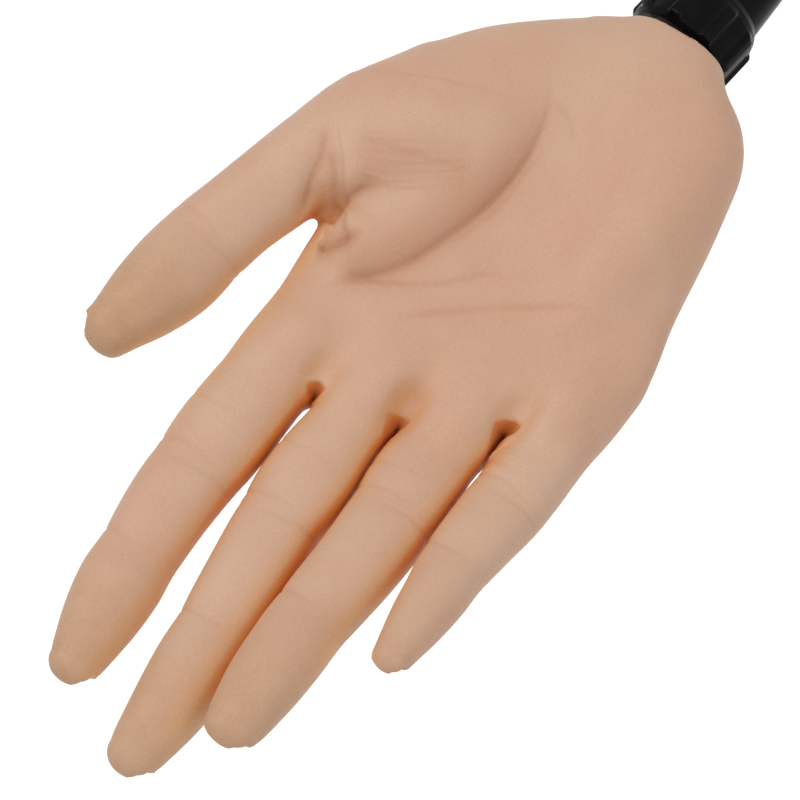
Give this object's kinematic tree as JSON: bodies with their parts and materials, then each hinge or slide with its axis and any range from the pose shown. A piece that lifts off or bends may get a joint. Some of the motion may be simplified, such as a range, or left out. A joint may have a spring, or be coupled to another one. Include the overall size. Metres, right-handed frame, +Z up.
{
  "type": "nail practice hand",
  "caption": "Life-size right hand in soft silicone over a jointed skeleton, carried palm up by a ball joint and a gooseneck arm on a screw table clamp.",
  "frame": {"origin": "on the underside of the clamp's upper pad, where it lies on the table, under the axis of the arm's foot", "axes": "+Z up; -Y from the foot over the table along the arm to the fingertips; +X to the little finger's side, the palm facing +Z"},
  "size_m": [0.1106, 0.4003, 0.3634],
  "materials": {
    "silicone_skin": "matte skin-textured silicone",
    "skeleton_plastic": "moulded nylon",
    "black_plastic": "satin moulded",
    "gooseneck_metal": "satin black coated",
    "black_enamel": "powder coated",
    "pad_rubber": "matte",
    "insert_metal": "turned",
    "steel": "turned, zinc plated"
  },
  "bodies": {
    "clamp": {"clamp_body": "black_enamel", "upper_pad": "pad_rubber"},
    "press": {"pressure_plate": "steel", "lower_pad": "pad_rubber"},
    "screw": {"clamp_screw": "steel", "clamp_knob": "black_plastic"},
    "arm_lower": {"arm_foot": "black_plastic", "gooseneck_lower": "gooseneck_metal", "gooseneck_upper": "gooseneck_metal"},
    "arm_upper": {"neck_cone": "black_plastic"},
    "nut": {"lock_nut": "black_plastic"},
    "liner": {"socket_liner": "skeleton_plastic"},
    "stud": {"ball_stud": "steel"},
    "hand": {"palm_skin": "silicone_skin", "palm_frame": "skeleton_plastic", "wrist_insert": "insert_metal"},
    "index_proximal": {"index_proximal_skin": "silicone_skin", "index_proximal_bone": "skeleton_plastic", "index_mcp_sleeve": "silicone_skin"},
    "index_middle": {"index_middle_skin": "silicone_skin", "index_middle_bone": "skeleton_plastic", "index_pip_sleeve": "silicone_skin"},
    "index_tip": {"index_tip_skin": "silicone_skin", "index_tip_bone": "skeleton_plastic", "index_dip_sleeve": "silicone_skin"},
    "middle_proximal": {"middle_proximal_skin": "silicone_skin", "middle_proximal_bone": "skeleton_plastic", "middle_mcp_sleeve": "silicone_skin"},
    "middle_middle": {"middle_middle_skin": "silicone_skin", "middle_middle_bone": "skeleton_plastic", "middle_pip_sleeve": "silicone_skin"},
    "middle_tip": {"middle_tip_skin": "silicone_skin", "middle_tip_bone": "skeleton_plastic", "middle_dip_sleeve": "silicone_skin"},
    "ring_proximal": {"ring_proximal_skin": "silicone_skin", "ring_proximal_bone": "skeleton_plastic", "ring_mcp_sleeve": "silicone_skin"},
    "ring_middle": {"ring_middle_skin": "silicone_skin", "ring_middle_bone": "skeleton_plastic", "ring_pip_sleeve": "silicone_skin"},
    "ring_tip": {"ring_tip_skin": "silicone_skin", "ring_tip_bone": "skeleton_plastic", "ring_dip_sleeve": "silicone_skin"},
    "pinky_proximal": {"pinky_proximal_skin": "silicone_skin", "pinky_proximal_bone": "skeleton_plastic", "pinky_mcp_sleeve": "silicone_skin"},
    "pinky_middle": {"pinky_middle_skin": "silicone_skin", "pinky_middle_bone": "skeleton_plastic", "pinky_pip_sleeve": "silicone_skin"},
    "pinky_tip": {"pinky_tip_skin": "silicone_skin", "pinky_tip_bone": "skeleton_plastic", "pinky_dip_sleeve": "silicone_skin"},
    "thumb_proximal": {"thumb_proximal_skin": "silicone_skin", "thumb_proximal_bone": "skeleton_plastic", "thumb_mcp_sleeve": "silicone_skin"},
    "thumb_tip": {"thumb_tip_skin": "silicone_skin", "thumb_tip_bone": "skeleton_plastic", "thumb_ip_sleeve": "silicone_skin"}
  },
  "joints": [
    {"name": "pad_slide", "type": "slide", "parent": "clamp", "child": "press", "axis": [0, 0, 1], "range_m": [-0.018, 0.021]},
    {"name": "screw_turn", "type": "hinge", "parent": "press", "child": "screw", "pos_m": [0, -0.018, -0.05], "axis": [0, 0, 1], "range_deg": [-2200, 2560]},
    {"name": "arm_turn", "type": "hinge", "parent": "clamp", "child": "arm_lower", "pos_m": [0, 0, 0.03], "axis": [0, 0, 1], "continuous": true},
    {"name": "gooseneck_bend", "type": "hinge", "parent": "arm_lower", "child": "arm_upper", "pos_m": [0, -0.07381, 0.236], "axis": [1, 0, 0], "range_deg": [-25, 25], "deforming": ["gooseneck_upper"]},
    {"name": "nut_turn", "type": "hinge", "parent": "arm_upper", "child": "nut", "pos_m": [0, -0.175, 0.236], "axis": [0, 1, 0], "range_deg": [0, 180]},
    {"name": "ball_swing", "type": "hinge", "parent": "arm_upper", "child": "liner", "pos_m": [0, -0.175, 0.236], "axis": [0, 0, 1], "range_deg": [-15, 6]},
    {"name": "ball_nod", "type": "hinge", "parent": "liner", "child": "stud", "pos_m": [0, -0.175, 0.236], "axis": [1, 0, 0], "range_deg": [-10, 10]},
    {"name": "hand_spin", "type": "hinge", "parent": "stud", "child": "hand", "pos_m": [0, -0.175, 0.236], "axis": [-0.0785, 0.9969, 0], "continuous": true},
    {"name": "index_mcp", "type": "hinge", "parent": "hand", "child": "index_proximal", "pos_m": [-0.01444, -0.30754, 0.24], "axis": [-0.9936, -0.1132, 0], "range_deg": [-10, 45], "deforming": ["index_mcp_sleeve"]},
    {"name": "index_pip", "type": "hinge", "parent": "index_proximal", "child": "index_middle", "pos_m": [-0.01184, -0.33039, 0.2404], "axis": [-0.989, -0.1478, 0], "range_deg": [0, 55], "deforming": ["index_pip_sleeve"]},
    {"name": "index_dip", "type": "hinge", "parent": "index_middle", "child": "index_tip", "pos_m": [-0.0079, -0.35168, 0.24191], "axis": [-0.9763, -0.2164, 0], "range_deg": [0, 35], "deforming": ["index_dip_sleeve"]},
    {"name": "middle_mcp", "type": "hinge", "parent": "hand", "child": "middle_proximal", "pos_m": [0.00586, -0.30294, 0.24], "axis": [-0.9863, -0.165, 0], "range_deg": [-10, 45], "deforming": ["middle_mcp_sleeve"]},
    {"name": "middle_pip", "type": "hinge", "parent": "middle_proximal", "child": "middle_middle", "pos_m": [0.00989, -0.32707, 0.24128], "axis": [-0.9781, -0.2079, 0], "range_deg": [0, 55], "deforming": ["middle_pip_sleeve"]},
    {"name": "middle_dip", "type": "hinge", "parent": "middle_middle", "child": "middle_tip", "pos_m": [0.01696, -0.35439, 0.24525], "axis": [-0.967, -0.2546, 0], "range_deg": [0, 35], "deforming": ["middle_dip_sleeve"]},
    {"name": "ring_mcp", "type": "hinge", "parent": "hand", "child": "ring_proximal", "pos_m": [0.02457, -0.29344, 0.24], "axis": [-0.9799, -0.1994, 0], "range_deg": [-10, 45], "deforming": ["ring_mcp_sleeve"]},
    {"name": "ring_pip", "type": "hinge", "parent": "ring_proximal", "child": "ring_middle", "pos_m": [0.02812, -0.3109, 0.2425], "axis": [-0.9884, -0.1521, 0], "range_deg": [0, 55], "deforming": ["ring_pip_sleeve"]},
    {"name": "ring_dip", "type": "hinge", "parent": "ring_middle", "child": "ring_tip", "pos_m": [0.03115, -0.33972, 0.25027], "axis": [-0.9909, -0.1349, 0], "range_deg": [0, 35], "deforming": ["ring_dip_sleeve"]},
    {"name": "pinky_mcp", "type": "hinge", "parent": "hand", "child": "pinky_proximal", "pos_m": [0.04251, -0.27798, 0.24], "axis": [-0.9954, -0.0958, 0], "range_deg": [-10, 45], "deforming": ["pinky_mcp_sleeve"]},
    {"name": "pinky_pip", "type": "hinge", "parent": "pinky_proximal", "child": "pinky_middle", "pos_m": [0.04398, -0.29322, 0.24243], "axis": [-0.9962, -0.0872, 0], "range_deg": [0, 55], "deforming": ["pinky_pip_sleeve"]},
    {"name": "pinky_dip", "type": "hinge", "parent": "pinky_middle", "child": "pinky_tip", "pos_m": [0.0454, -0.31133, 0.24798], "axis": [-0.9903, -0.1392, 0], "range_deg": [0, 35], "deforming": ["pinky_dip_sleeve"]},
    {"name": "thumb_mcp", "type": "hinge", "parent": "hand", "child": "thumb_proximal", "pos_m": [-0.04096, -0.25998, 0.246], "axis": [-0.9057, 0.1192, 0.4067], "range_deg": [-10, 35], "deforming": ["thumb_mcp_sleeve"]},
    {"name": "thumb_ip", "type": "hinge", "parent": "thumb_proximal", "child": "thumb_tip", "pos_m": [-0.04507, -0.29121, 0.246], "axis": [-0.9113, 0.0655, 0.4066], "range_deg": [0, 40], "deforming": ["thumb_ip_sleeve"]}
  ],
  "couplings": [
    {"joint": "screw_turn", "follows": "pad_slide", "rad_per_m": 2094.4}
  ]
}
